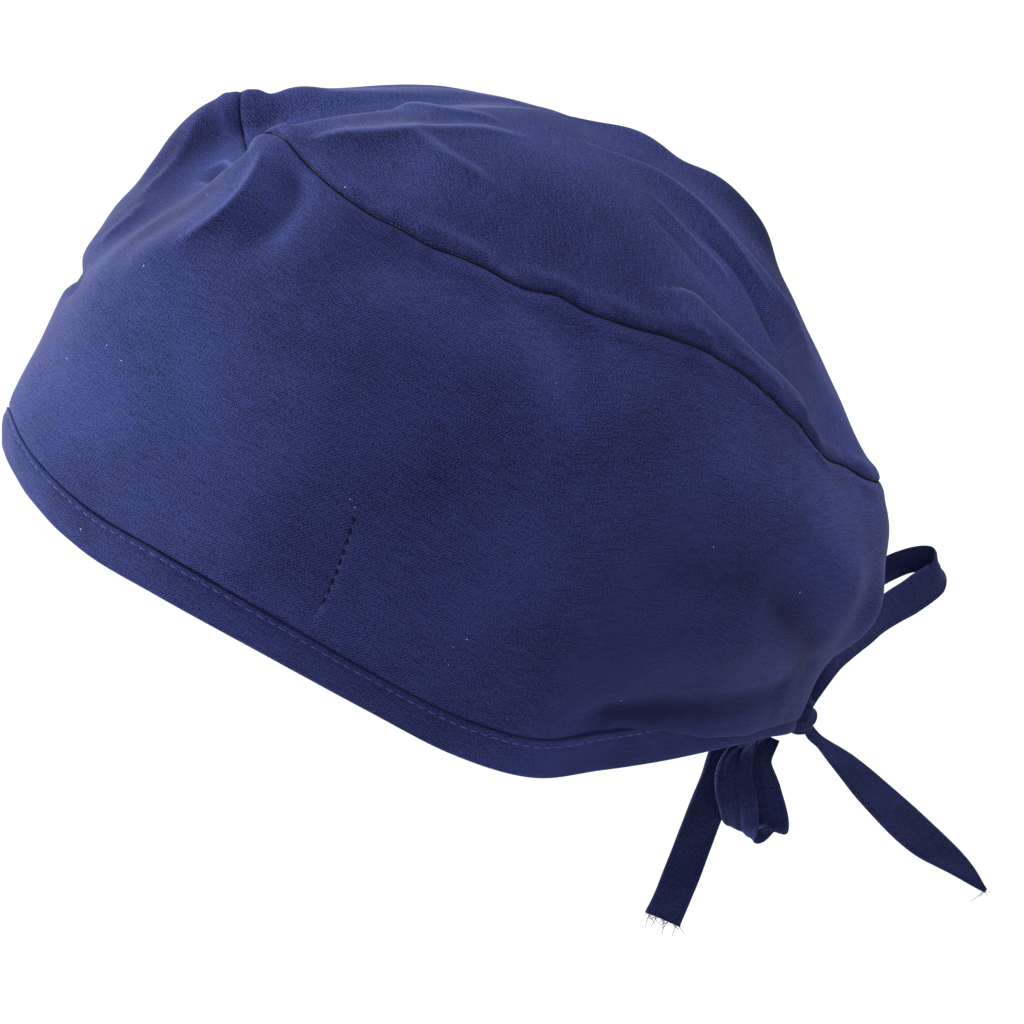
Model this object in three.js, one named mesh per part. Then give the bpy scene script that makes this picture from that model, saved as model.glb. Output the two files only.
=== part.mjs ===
// Scrub cap with a bow of ties at the nape, in millimetres. Front is -Y, up is +Z, wearer's left is +X.
// The origin is where the middle of a head would sit, level with the ears.
import * as THREE from "three";

const half_width = 80; // half the cap's greatest width, ear to ear
const half_length = 106; // half the rim's length, forehead to nape
const crown_height = 134; // crown above the level of the ears
const cloth_wall = 1.2; // side and top panels
const band_width = 10.5; // hem band, from its edge to its seam
const band_wall = 2.2; // hem band, two layers turned
const band_proud = 0.5; // hem band stands out from the cloth by this much
const seam_gap = 0.3; // between any two pieces that meet
const nape_opening = 13; // between the two ends of the hem band
const knot_height = 12;
const knot_depth = 10;
const tie_width = 10;
const tie_wall = 1.4;
const tail_left_length = 70;
const tail_right_length = 92;
const loop_left_length = 92; // both legs of the loop
const loop_right_length = 124; // both legs of the loop
const fold_depth = 3; // a whole fold; the fold table gives shares of it
const fold_width = 10; // reach of a whole fold to each side

// One row for each station from the front centre round the left side to the back centre, alike on the right.
// Columns: across in hundredths of half_width, along in hundredths of half_length, up in hundredths of
// crown_height. rim_line has one more: the hundredths by which the hem band leans out.
const rim_line = [
  [0, -98.1, 34.3, 20], [27.5, -94.3, 29.1, 18], [52.5, -84, 22.4, 10], [71.2, -67.9, 16, 6],
  [83.8, -45.3, 6.3, 6], [88.8, -20.8, -5.2, 10], [88.8, 0, -14.9, 6], [83.8, 19.8, -21.3, -4],
  [76.2, 37.5, -22.2, -14], [66.2, 54, -23.1, -24], [52.5, 69.7, -24.2, -32], [31.2, 85.9, -26.6, -36],
  [0, 100, -30.6, -30],
];
const belly_line = [
  [0, -90.1, 52.2], [28.8, -86.8, 49.3], [55, -76.4, 44], [75, -60.4, 38.4],
  [88.8, -40.6, 32.1], [96.2, -17.9, 26.1], [99.4, 3.8, 21.3], [98.8, 23.6, 16.4],
  [93.1, 43.4, 10.8], [83.2, 63.7, 5.8], [66.2, 83.1, 1], [40, 104.8, -2],
  [0, 116.5, -6],
];
const shoulder_line = [
  [0, -74.5, 70.9], [22.5, -70.8, 74.6], [42.5, -60.4, 77.6], [63.8, -45.3, 73.1],
  [80, -30.2, 66.4], [90, -12.3, 61.6], [95, 7.5, 55.2], [96.2, 26.4, 49.6],
  [90.6, 46.2, 42.5], [81.2, 65.5, 34.9], [65, 84.9, 26.4], [40, 107.6, 14.4],
  [0, 123.1, 8.2],
];
const seam_line = [
  [0, -37.7, 88.8], [15, -36.8, 91.8], [27.5, -34.9, 97.8], [45, -28.3, 92.5],
  [58.8, -18.9, 86.6], [68.8, -6.6, 82.8], [75.6, 8.5, 75.7], [78.8, 26.4, 70.1],
  [75, 46.2, 63.4], [70, 62.7, 57.3], [56.2, 80.9, 46.3], [33.8, 102.1, 29.5],
  [0, 121.2, 20.5],
];
// Two rings of the top panel lie between its middle and the seam. They have the station's height alone.
const crown_middle = [0, 35.8, 96.3];
const outer_ring = {
  reach: 0.7,
  up: [94, 96.6, 99.3, 98.1, 96.3, 94.8, 91.4, 88.8, 84.7, 79.5, 73.1, 69.4, 61.2],
};
const inner_ring = {
  reach: 0.35,
  up: [98.1, 98.5, 99.1, 99.3, 98.7, 97.8, 96.4, 94.9, 93.3, 91.4, 89.3, 87.7, 86.6],
};

// Folds of the cloth. high is the share of fold_depth, negative for a dent; wide the share of fold_width.
// route has a station and a level for each point: 1 is the band's seam, 2 the belly, 3 the shoulder, 4 the
// crown seam, 5 and 6 the rings.
const folds = [
  { name: "front ridge below the pleat", sides: [1, -1], high: 0.8, wide: 0.6,
    route: [[2.28, 3.6], [2.1, 3.25], [1.6, 3.02], [1.1, 2.9]] },
  { name: "pocket between the pleats", sides: [1, -1], high: -0.8, wide: 0.8,
    route: [[0.2, 3.95], [0.7, 3.7], [1.1, 3.5]] },
  { name: "hollow behind the front ridge", sides: [1, -1], high: -0.7, wide: 0.7,
    route: [[2.9, 3.8], [2.85, 3.5], [2.7, 3.2]] },
  { name: "crown ridge behind the pleat", sides: [1, -1], high: 0.5, wide: 0.6,
    route: [[2.5, 4.6], [3.1, 5.1], [4, 5.5], [5.5, 5.95]] },
  { name: "branch of the crown ridge", sides: [1], high: 0.4, wide: 0.6,
    route: [[4, 5.1], [5, 4.97], [5.7, 4.9]] },
  { name: "right pleat stands higher", sides: [-1], high: 1.1, wide: 1.2, route: [[2, 3.95], [2, 4.2]] },
  { name: "pleat beside the crown seam", sides: [1, -1], high: 0.7, wide: 0.6,
    route: [[8.8, 4.5], [9.6, 4.5], [10.4, 4.4], [10.9, 4.25], [11.1, 4.1]] },
  { name: "hollow under the crown seam", sides: [1, -1], high: -0.6, wide: 1.4,
    route: [[4.6, 3.8], [5.3, 3.7]] },
  { name: "hollow above the ear", sides: [1, -1], high: -0.6, wide: 1.5,
    route: [[7.2, 3.75], [7.1, 3]] },
  { name: "valley over the nape", sides: [1, -1], high: -1, wide: 0.8,
    route: [[7.8, 2.3], [8.4, 2.38], [9.3, 2.43], [9.9, 2.33], [10.3, 2.08], [10.65, 1.78], [11.2, 1.5]] },
  { name: "bulge under the valley", sides: [1, -1], high: 0.9, wide: 1,
    route: [[8.2, 1.8], [9, 1.9], [9.7, 1.82], [10.2, 1.68]] },
  { name: "crease over the hem", sides: [1, -1], high: -0.9, wide: 0.6,
    route: [[7.9, 1.2], [8.6, 1.36], [9.3, 1.42], [10.1, 1.46], [10.8, 1.46], [11.4, 1.4]] },
  { name: "roll on the hem", sides: [1, -1], high: 0.7, wide: 0.4,
    route: [[8.8, 1.1], [9.6, 1.14], [10.4, 1.16], [11.2, 1.14]] },
];

// Ties. Each row is a place on the strap: x, y, z in hundredths of its length from the middle of the knot,
// then the direction across the strap, and its width in hundredths of tie_width. The first leaves the knot.
const tail_left_route = [
  [-1.4, -8.4, 0.6, 0.1, 0.2, 1, 40],
  [1.4, -18.6, -1.4, 0.1, 0.75, 0.65, 70],
  [5, -29, -8.6, 0, 0.98, -0.2, 95],
  [9.3, -35.7, -23, 0.11, 0.9, -0.42, 98],
  [14.3, -45.7, -44.3, 0.1, 0.98, -0.19, 100],
  [20, -54.3, -61.4, 0.1, 0.98, -0.14, 100],
  [21.4, -59.3, -71.4, 0.08, 0.96, -0.28, 104],
];
const loop_left_route = [
  [4.6, -5.8, 0.5, 0.2, 0.2, 1, 40],
  [8.6, -14.7, -4.2, 0.1, 0.8, 0.6, 60],
  [13.4, -22.3, -6, 0.1, 0.98, 0.1, 88],
  [16.8, -25.5, -11.4, 0.1, 0.99, -0.14, 100],
  [17.9, -23.9, -22.3, 0.2, 0.97, -0.12, 95],
  [14.7, -19.6, -31.5, 0.2, 0.9, -0.3, 80],
  [10.3, -14.1, -31.5, 0.1, 0.97, 0.2, 90],
  [8.2, -12.2, -19.6, 0.12, 0.99, -0.02, 88],
  [6.5, -13, -10.3, 0.17, 0.97, -0.15, 60],
  [2.4, -6.6, -5.2, 0.5, 0.6, -0.5, 40],
];
const tail_right_route = [
  [-0.6, 3.6, -6.2, 0.3, -0.8, -0.4, 34],
  [-3.3, 7.6, -10.4, 0.2, -0.75, -0.66, 36],
  [-8.7, 16, -18.9, 0, -0.65, -0.76, 68],
  [-14.1, 26.6, -30.4, 0, -0.73, -0.68, 92],
  [-19.6, 42.3, -46.6, 0, -0.72, -0.7, 102],
  [-22.8, 56, -58.2, 0, -0.8, -0.6, 64],
  [-25.5, 65.2, -67.4, 0, -0.6, -0.8, 12],
];
const loop_right_route = [
  [-2.6, 4.6, 2.2, 0.6, 0.4, -0.7, 40],
  [-6, 9.6, 6.4, 0.3, 0.5, -0.8, 60],
  [-10.5, 14.5, 10.5, 0.1, 0.6, -0.8, 82],
  [-17.7, 23.6, 16.9, 0, 0.2, -0.98, 100],
  [-21, 31, 19.8, 0, 0, -1, 110],
  [-23.4, 37, 23, 0, 0.2, -0.98, 105],
  [-26.4, 36.7, 26, 0, 0.5, -0.87, 90],
  [-28.6, 31, 25.4, -0.2, 0.3, -0.93, 80],
  [-29.8, 25, 21.5, -0.3, 0.1, -0.95, 80],
  [-26.6, 14.5, 12.9, -0.3, -0.3, -0.9, 80],
  [-15, 7.5, 4, -0.3, -0.3, -0.9, 65],
  [-4.6, 3, -1.8, 0.3, -0.3, -0.9, 40],
];

const stations = 24; // round the whole cap
const columns = 88; // faces round the whole cap
const places_tail = 18; // faces along a tail
const places_loop = 30; // faces along a loop
const V = (x, y, z) => new THREE.Vector3(x, y, z);

// The point of a smooth line through p1 and p2, with p0 and p3 beyond them, at share t of the way.
function smooth(p0, p1, p2, p3, t) {
  const of = (k) => {
    const [a, b, c, d] = [p0[k], p1[k], p2[k], p3[k]];
    const bend = 2 * a - 5 * b + 4 * c - d,
      twist = 3 * b - a - 3 * c + d;
    return 0.5 * (2 * b + (c - a) * t + bend * t * t + twist * t ** 3);
  };
  return V(of("x"), of("y"), of("z"));
}

// A table of the left side in millimetres, with its mirror image on the right.
function ring(rows) {
  const [across, along, up] = [half_width / 100, half_length / 100, crown_height / 100];
  const left = rows.map(([x, y, z]) => V(x * across, y * along, z * up));
  return left.concat(left.slice(1, -1).reverse().map((p) => V(-p.x, p.y, p.z)));
}

function around(line, s) {
  const i = Math.floor(s),
    n = line.length,
    at = (k) => line[(((i + k) % n) + n) % n];
  return smooth(at(-1), at(0), at(1), at(2), s - i);
}

const rim = ring(rim_line);
const belly = ring(belly_line);
const seam = ring(seam_line);
const leans = rim_line.map((r) => r[3]);
const lean_of = leans.concat(leans.slice(1, -1).reverse());
// The band's seam lies one band width up from the rim, towards the belly and out by the lean.
const band_seam = rim.map((p, k) => {
  const up = belly[k].clone().sub(p).normalize(),
    out = V(p.x / half_width, p.y / half_length, 0).normalize();
  return p.clone().addScaledVector(up.addScaledVector(out, lean_of[k] / 100).normalize(), band_width);
});
const middle = V(0, (crown_middle[1] * half_length) / 100, (crown_middle[2] * crown_height) / 100);
const top_ring = ({ reach, up }) =>
  seam.map((p, k) => {
    const q = middle.clone().lerp(p, reach);
    q.z = (up[Math.min(k, stations - k)] * crown_height) / 100;
    return q;
  });
const lines = [rim, band_seam, belly, ring(shoulder_line), seam, top_ring(outer_ring), top_ring(inner_ring)];

// The smooth skin at station s and level w. The crown seam, level 4, is an edge: each panel's curve ends there.
function skin(s, w) {
  const on = (k, at = s) => (k === 7 ? middle : around(lines[k], at)),
    i = Math.min(Math.floor(w), 6),
    beyond = (a, b) => a.clone().multiplyScalar(2).sub(b),
    p1 = on(i),
    p2 = on(i + 1),
    p0 = i === 0 || i === 4 ? beyond(p1, p2) : on(i - 1),
    p3 = i === 3 ? beyond(p2, p1) : i === 6 ? around(lines[6], s + stations / 2) : on(i + 2);
  return smooth(p0, p1, p2, p3, w - i);
}

const step = 1e-3;
function facing(s, w, low, high) {
  const a = skin(s + step, w).sub(skin(s - step, w)),
    b = skin(s, Math.min(w + step, high)).sub(skin(s, Math.max(w - step, low)));
  return a.cross(b).normalize();
}
// The outward direction. At the crown seam both panels share the direction midway between them.
function outward(s, w) {
  if (w > 6.99) return V(0, 0, 1);
  if (Math.abs(w - 4) > 1e-6) return facing(s, w, w > 4 ? 4 : 0, w > 4 ? 7 : 4);
  return facing(s, 4, 0, 4).add(facing(s, 4, 4, 7)).normalize();
}

const routes = folds.flatMap((f) =>
  f.sides.map((side) => ({
    high: f.high * fold_depth,
    wide: f.wide * fold_width,
    points: f.route.map(([s, w]) => skin(side * s, w)),
  })),
);
const toLine = new THREE.Line3();
const nearest = V(0, 0, 0);
// How far the folds lift the cloth at a point: each fades with the square of the distance from its route.
function fold(p) {
  let lift = 0;
  for (const { high, wide, points } of routes) {
    let d = Infinity;
    for (let k = 1; k < points.length; k++) {
      toLine.set(points[k - 1], points[k]).closestPointToPoint(p, true, nearest);
      d = Math.min(d, nearest.distanceTo(p));
    }
    lift += high * Math.exp(-((d / wide) ** 2));
  }
  return lift;
}

// A closed body from rows of points: each row is one closed section, and the rows run along the body.
function body(rows, closedAlong, capped) {
  const n = rows[0].length,
    position = rows.flat().flatMap((p) => [p.x, p.y, p.z]),
    index = [],
    last = closedAlong ? rows.length : rows.length - 1;
  for (let i = 0; i < last; i++)
    for (let j = 0; j < n; j++) {
      const a = i * n + j,
        b = i * n + ((j + 1) % n),
        c = ((i + 1) % rows.length) * n + ((j + 1) % n),
        d = ((i + 1) % rows.length) * n + j;
      index.push(a, b, c, a, c, d);
    }
  if (capped)
    for (let j = 1; j < n - 1; j++) {
      const z = (rows.length - 1) * n;
      index.push(0, j + 1, j, z, z + j, z + j + 1);
    }
  const g = new THREE.BufferGeometry();
  g.setAttribute("position", new THREE.Float32BufferAttribute(position, 3));
  g.setIndex(index);
  return g;
}

// The share of a level that half the gap takes at this station.
const half_gap = (s, from, to) => seam_gap / 2 / skin(s, from).distanceTo(skin(s, to));

const side_levels = [1, 1.1, 1.22, 1.34, 1.46, 1.62, 1.85, 2.15, 2.5, 2.85, 3.2, 3.5, 3.75, 4];
const top_levels = [4, 4.12, 4.28, 4.5, 4.8, 5.15, 5.55, 6, 6.5];
const each_column = Array.from({ length: columns }, (_, k) => (k * stations) / columns);

// The side panel clears the hem band by a gap, and both panels end half a gap short of the crown seam.
function side_panel() {
  return body(
    each_column.map((s) => {
      const foot = 1 + 2 * half_gap(s, 1, 2),
        brow = 4 - half_gap(s, 3, 4),
        wall = (off) => side_levels.map((w) => seamed(s, w, w === 1 ? foot : w === 4 ? brow : w, off));
      return wall(-cloth_wall).concat(wall(0).reverse());
    }),
    true,
    false,
  );
}

// A point of a panel at level at, lifted along the direction that the panel has at level w.
function seamed(s, w, at, off) {
  const p = skin(s, at);
  return p.clone().addScaledVector(outward(s, w), fold(p) + off);
}

function top_panel() {
  const rows = each_column.map((s) => {
      const foot = half_gap(s, 4, 5);
      return top_levels.map((w) => {
        const at = w === 4 ? 4 + foot : w;
        return [seamed(s, w, at, 0), seamed(s, w, at, -cloth_wall)];
      });
    }),
    n = top_levels.length,
    position = [],
    index = [],
    id = (i, j, k) => ((i % columns) * n + j) * 2 + k;
  rows.flat(2).forEach((p) => position.push(p.x, p.y, p.z));
  const up = outward(0, 7),
    poles = [0, -cloth_wall].map((off) => middle.clone().addScaledVector(up, fold(middle) + off));
  poles.forEach((p) => position.push(p.x, p.y, p.z));
  const pole = columns * n * 2;
  for (let i = 0; i < columns; i++) {
    for (let j = 0; j < n - 1; j++) {
      const out = [id(i, j, 0), id(i + 1, j, 0), id(i + 1, j + 1, 0), id(i, j + 1, 0)],
        inn = [id(i, j, 1), id(i + 1, j, 1), id(i + 1, j + 1, 1), id(i, j + 1, 1)];
      index.push(out[0], out[1], out[2], out[0], out[2], out[3]);
      index.push(inn[0], inn[2], inn[1], inn[0], inn[3], inn[2]);
    }
    index.push(id(i, n - 1, 0), id(i + 1, n - 1, 0), pole, id(i, n - 1, 1), pole + 1, id(i + 1, n - 1, 1));
    index.push(id(i, 0, 0), id(i, 0, 1), id(i + 1, 0, 1), id(i, 0, 0), id(i + 1, 0, 1), id(i + 1, 0, 0));
  }
  const g = new THREE.BufferGeometry();
  g.setAttribute("position", new THREE.Float32BufferAttribute(position, 3));
  g.setIndex(index);
  return g;
}

// The hem band runs from one end at the nape round the front to the other.
function hem_band() {
  const back = around(rim, stations / 2),
    reach = (d) => around(rim, stations / 2 - d).distanceTo(back);
  let half_open = 0.5;
  for (let k = 0; k < 20; k++) half_open *= nape_opening / 2 / reach(half_open);
  const start = half_open - stations / 2,
    span = stations - 2 * half_open,
    rows = [];
  for (let i = 0; i <= columns; i++) {
    const s = start + (span * i) / columns,
      levels = [0.04, 0.5, 1],
      at = (w, off) => skin(s, w).addScaledVector(outward(s, w), off),
      down = skin(s, 0).sub(skin(s, 0.2)).normalize(),
      edge = at(0, band_proud - band_wall / 2).addScaledVector(down, band_wall / 4),
      inside = levels.map((w) => at(w, band_proud - band_wall)),
      outside = levels.map((w) => at(w, band_proud)).reverse();
    rows.push([edge, ...inside, ...outside]);
  }
  return body(rows, false, true);
}

// The knot fills the opening between the band's ends, a seam gap clear of each.
const knot_middle = V(0, rim[stations / 2].y + band_wall, rim[stations / 2].z + band_width / 4);
const knot_half = V(nape_opening / 2 - seam_gap, knot_depth / 2, knot_height / 2);
function bow_knot() {
  const turns = 18,
    rows = 9,
    g = new THREE.SphereGeometry(1, turns, rows),
    p = g.getAttribute("position");
  for (let i = 0; i < p.count; i++) {
    const v = V(p.getX(i), p.getY(i), p.getZ(i)),
      slant = (v.z - 0.35 * v.x) / 0.16,
      groove = 1 - 0.14 * Math.exp(-slant * slant) * Math.sqrt(Math.max(0, 1 - v.x * v.x));
    v.multiply(knot_half).multiplyScalar(groove).add(knot_middle);
    p.setXYZ(i, v.x, v.y, v.z);
  }
  g.deleteAttribute("normal");
  g.deleteAttribute("uv");
  return g;
}

// A strap along a route. Its first place, and for a loop its last, moves to a gap clear of the knot.
function strap(route, length, ends_at_knot, places) {
  const at = route.map(([x, y, z, ax, ay, az, wide]) => ({
    p: V(x, y, z).multiplyScalar(length / 100).add(knot_middle),
    across: V(ax, ay, az).normalize(),
    wide: (wide * tie_width) / 100,
  }));
  const clear = (q) => {
    const d = q.p.clone().sub(knot_middle),
      reach = 1 / Math.hypot(d.x / knot_half.x, d.y / knot_half.y, d.z / knot_half.z);
    q.p = knot_middle.clone().addScaledVector(d, reach + (seam_gap + tie_wall / 2) / d.length());
  };
  clear(at[0]);
  if (ends_at_knot) clear(at[at.length - 1]);
  const beyond = (a, b) => a.clone().multiplyScalar(2).sub(b),
    n = at.length,
    line = (key) => {
      const v = at.map((q) => q[key]);
      return [beyond(v[0], v[1]), ...v, beyond(v[n - 1], v[n - 2])];
    },
    path = line("p"),
    acrosses = line("across"),
    point = (v, u) => {
      const i = Math.min(Math.floor(u), n - 2);
      return smooth(v[i], v[i + 1], v[i + 2], v[i + 3], u - i);
    };
  const rows = [];
  for (let k = 0; k <= places; k++) {
    const u = ((n - 1) * k) / places,
      p = point(path, u),
      along = point(path, Math.min(u + 0.01, n - 1)).sub(point(path, Math.max(u - 0.01, 0))).normalize(),
      across = point(acrosses, u).addScaledVector(along, -point(acrosses, u).dot(along)).normalize(),
      face = along.clone().cross(across),
      i = Math.min(Math.floor(u), n - 2),
      half = (at[i].wide + (at[i + 1].wide - at[i].wide) * (u - i)) / 2,
      spot = (x, y) => p.clone().addScaledVector(across, x * half).addScaledVector(face, (y * tie_wall) / 2);
    rows.push([spot(-1, -0.6), spot(0, -1), spot(1, -0.6), spot(1, 0.6), spot(0, 1), spot(-1, 0.6)]);
  }
  return body(rows, false, true);
}

const navy = { color: 0x2b3270, roughness: 0.85, metalness: 0 };
const group = new THREE.Group();
function piece(name, geometry, look) {
  const mesh = new THREE.Mesh(geometry, new THREE.MeshStandardMaterial(look));
  mesh.name = name;
  group.add(mesh);
}
piece("side_panel", side_panel(), { ...navy });
piece("top_panel", top_panel(), { ...navy, color: 0x303878 });
piece("hem_band", hem_band(), { ...navy, color: 0x282f68 });
piece("bow_knot", bow_knot(), { ...navy, color: 0x242a5e });
const tail = (route, length) => strap(route, length, false, places_tail);
const loop = (route, length) => strap(route, length, true, places_loop);
piece("tail_left", tail(tail_left_route, tail_left_length), { ...navy, color: 0x222858 });
piece("tail_right", tail(tail_right_route, tail_right_length), { ...navy, color: 0x222858 });
piece("loop_left", loop(loop_left_route, loop_left_length), { ...navy, color: 0x242a5c });
piece("loop_right", loop(loop_right_route, loop_right_length), { ...navy, color: 0x242a5c });

export default group;
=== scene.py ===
"""A navy scrub cap in the form that it has on a head, with its ties in a bow at the nape.

Lengths in the tables are shares of the sizes named first. Front is -Y, up is +Z, the wearer's left is +X,
in metres.
"""
import math

import bpy
import numpy as np
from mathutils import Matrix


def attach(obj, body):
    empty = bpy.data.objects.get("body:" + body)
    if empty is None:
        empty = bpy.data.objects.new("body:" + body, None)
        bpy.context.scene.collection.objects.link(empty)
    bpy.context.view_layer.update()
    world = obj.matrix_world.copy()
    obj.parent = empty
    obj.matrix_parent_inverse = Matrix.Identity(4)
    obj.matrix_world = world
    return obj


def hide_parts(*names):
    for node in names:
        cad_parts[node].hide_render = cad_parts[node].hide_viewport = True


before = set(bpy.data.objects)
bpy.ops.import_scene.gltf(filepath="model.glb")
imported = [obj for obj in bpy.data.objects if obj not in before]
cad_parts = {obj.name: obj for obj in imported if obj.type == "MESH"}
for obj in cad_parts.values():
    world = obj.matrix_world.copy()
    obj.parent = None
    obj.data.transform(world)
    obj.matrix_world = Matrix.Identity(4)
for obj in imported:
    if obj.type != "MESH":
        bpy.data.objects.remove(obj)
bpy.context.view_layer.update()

MM = 0.001
HALF_WIDTH = 80 * MM
HALF_LENGTH = 106 * MM
CROWN_HEIGHT = 134 * MM
CLOTH_WALL = 1.1 * MM
BAND_WIDTH = 10.5 * MM
BAND_WALL = 2.0 * MM
BAND_PROUD = 0.45 * MM
NAPE_OPENING = 13 * MM
KNOT_HEIGHT = 12 * MM
KNOT_DEPTH = 10 * MM
TIE_WIDTH = 10 * MM
TIE_WALL = 1.1 * MM
TAIL_LEFT_LENGTH = 70 * MM
TAIL_RIGHT_LENGTH = 92 * MM
LOOP_LEFT_LENGTH = 92 * MM
LOOP_RIGHT_LENGTH = 124 * MM
STATIONS = 24
rng = np.random.default_rng(7)

# Photo view: azimuth and elevation in degrees, distance in metres, and where the camera looks.
AZIMUTH, ELEVATION, DISTANCE = 79.0, 15.0, 1.25
TARGET = (0.0, 28.7 * MM, 22.5 * MM)
SENSOR, FRAME_WIDTH = 36.0, 269.5 * MM


def camera():
    """A long lens at the photograph's angle to the cap."""
    a, e = math.radians(AZIMUTH), math.radians(ELEVATION)
    back = np.array([math.sin(a) * math.cos(e), -math.cos(a) * math.cos(e), math.sin(e)])
    data = bpy.data.cameras.new("camera")
    data.sensor_width = SENSOR
    data.lens = SENSOR * DISTANCE / FRAME_WIDTH
    data.clip_start, data.clip_end = 0.05, 50
    cam = bpy.data.objects.new("camera", data)
    cam.location = np.array(TARGET) + DISTANCE * back
    cam.rotation_euler = (math.pi / 2 - e, 0, a)
    bpy.context.scene.collection.objects.link(cam)
    bpy.context.scene.camera = cam


camera()

# One row for each station from the front centre round the left side to the back centre, alike on the right.
# Columns: across, along and up in hundredths of HALF_WIDTH, HALF_LENGTH and CROWN_HEIGHT.
# RIM has one more: how far the hem band leans out from the line to the belly, in hundredths.
RIM = [
    (0, -98.1, 34.3, 20), (27.5, -94.3, 29.1, 18), (52.5, -84, 22.4, 10), (71.2, -67.9, 16, 6),
    (83.8, -45.3, 6.3, 6), (88.8, -20.8, -5.2, 10), (88.8, 0, -14.9, 6), (83.8, 19.8, -21.3, -4),
    (76.2, 37.5, -22.2, -14), (66.2, 54, -23.1, -24), (52.5, 69.7, -24.2, -32), (31.2, 85.9, -26.6, -36),
    (0, 100, -30.6, -30),
]
BELLY = [
    (0, -90.1, 52.2), (28.8, -86.8, 49.3), (55, -76.4, 44), (75, -60.4, 38.4), (88.8, -40.6, 32.1),
    (96.2, -17.9, 26.1), (99.4, 3.8, 21.3), (98.8, 23.6, 16.4), (93.1, 43.4, 10.8), (83.2, 63.7, 5.8),
    (66.2, 83.1, 1), (40.1, 104.8, -2), (0, 116.5, -6),
]
SHOULDER = [
    (0, -74.5, 70.9), (22.5, -70.8, 74.6), (42.5, -60.4, 77.6), (63.8, -45.3, 73.1), (80, -30.2, 66.4),
    (90, -12.3, 61.6), (95, 7.5, 55.2), (96.2, 26.4, 49.6), (90.6, 46.2, 42.5), (81.2, 65.5, 34.9),
    (65.1, 84.9, 26.4), (40.1, 107.6, 14.4), (0, 123.1, 8.2),
]
SEAM = [
    (0, -37.7, 88.8), (15, -36.8, 91.8), (27.5, -34.9, 97.8), (45, -28.3, 92.5), (58.8, -18.9, 86.6),
    (68.8, -6.6, 82.8), (75.6, 8.5, 75.7), (78.8, 26.4, 70.1), (75, 46.2, 63.4), (69.9, 62.7, 57.3),
    (56.2, 80.9, 46.3), (33.8, 102.1, 29.5), (0, 121.2, 20.5),
]
CROWN_MIDDLE = (0, 35.8, 96.3)
OUTER_RING = (0.7, (94, 96.6, 99.3, 98.1, 96.3, 94.8, 91.4, 88.8, 84.7, 79.5, 73.1, 69.4, 61.2))
INNER_RING = (0.35, (98.1, 98.5, 99.1, 99.3, 98.7, 97.8, 96.4, 94.9, 93.3, 91.4, 89.3, 87.7, 86.6))


def smooth(p0, p1, p2, p3, t):
    """The point at share t of the way on the smooth line through p1 and p2, with p0 and p3 beyond them."""
    t = t[..., None]
    return 0.5 * (
        2 * p1 + (p2 - p0) * t + (2 * p0 - 5 * p1 + 4 * p2 - p3) * t**2 + (3 * p1 - p0 - 3 * p2 + p3) * t**3
    )


def unit(v):
    return v / np.maximum(np.linalg.norm(v, axis=-1, keepdims=True), 1e-12)


def ring(rows):
    """A table of the left side in metres, with its mirror image on the right."""
    left = np.array([r[:3] for r in rows]) / 100 * (HALF_WIDTH, HALF_LENGTH, CROWN_HEIGHT)
    return np.vstack([left, left[-2:0:-1] * (-1, 1, 1)])


def around(line, s):
    i = np.floor(s).astype(int)
    at = [line[(i + k) % len(line)] for k in (-1, 0, 1, 2)]
    return smooth(*at, s - i)


def band_seam(rim, belly):
    """The band's seam: one band width up from the rim, towards the belly and out by the table's lean."""
    lean = np.array([r[3] for r in RIM + RIM[-2:0:-1]])[:, None] / 100
    out = unit(rim / (HALF_WIDTH, HALF_LENGTH, 1) * (1, 1, 0))
    return rim + BAND_WIDTH * unit(unit(belly - rim) + lean * out)


def crown_ring(seam, middle, reach, up):
    """A ring of the top panel: the seam drawn in towards the middle, at the table's heights."""
    line = middle + reach * (seam - middle)
    line[:, 2] = np.array(up + up[-2:0:-1]) / 100 * CROWN_HEIGHT
    return line


def level_lines():
    rim, belly, seam = ring(RIM), ring(BELLY), ring(SEAM)
    middle = np.array(CROWN_MIDDLE) / 100 * (HALF_WIDTH, HALF_LENGTH, CROWN_HEIGHT)
    rings = [crown_ring(seam, middle, *r) for r in (OUTER_RING, INNER_RING)]
    return [rim, band_seam(rim, belly), belly, ring(SHOULDER), seam, *rings], middle


LINES, MIDDLE = level_lines()
TOP_LEVEL = 7


def skin(s, w):
    """The smooth skin at station s and level w: 0 rim, 1 band seam, 2 belly, 3 shoulder, 4 crown seam, 5
    and 6 rings of the top panel, 7 its middle. Lines through the levels' points give the height between
    them, and the crown seam is an edge, where each side ends its own line."""
    s, w = np.broadcast_arrays(np.asarray(s, float), np.asarray(w, float))
    on = [around(line, s) for line in LINES]
    middle = np.broadcast_to(MIDDLE, on[0].shape)
    stack = np.stack([2 * on[0] - on[1], *on, middle, around(LINES[6], s + STATIONS / 2)])
    i = np.clip(np.floor(w).astype(int), 0, TOP_LEVEL - 1)
    p = [np.take_along_axis(stack, (i + k)[None, ..., None], 0)[0] for k in range(4)]
    edge = i[..., None]
    p[3] = np.where(edge == 3, 2 * p[2] - p[1], p[3])
    p[0] = np.where(edge == 4, 2 * p[1] - p[2], p[0])
    return smooth(*p, w - i)


def facing(s, w, low, high, step=1e-3):
    """The outward direction of the skin, from its slopes along and up."""
    a = skin(s + step, w) - skin(s - step, w)
    b = skin(s, np.minimum(w + step, high)) - skin(s, np.maximum(w - step, low))
    return unit(np.cross(a, b))


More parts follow.
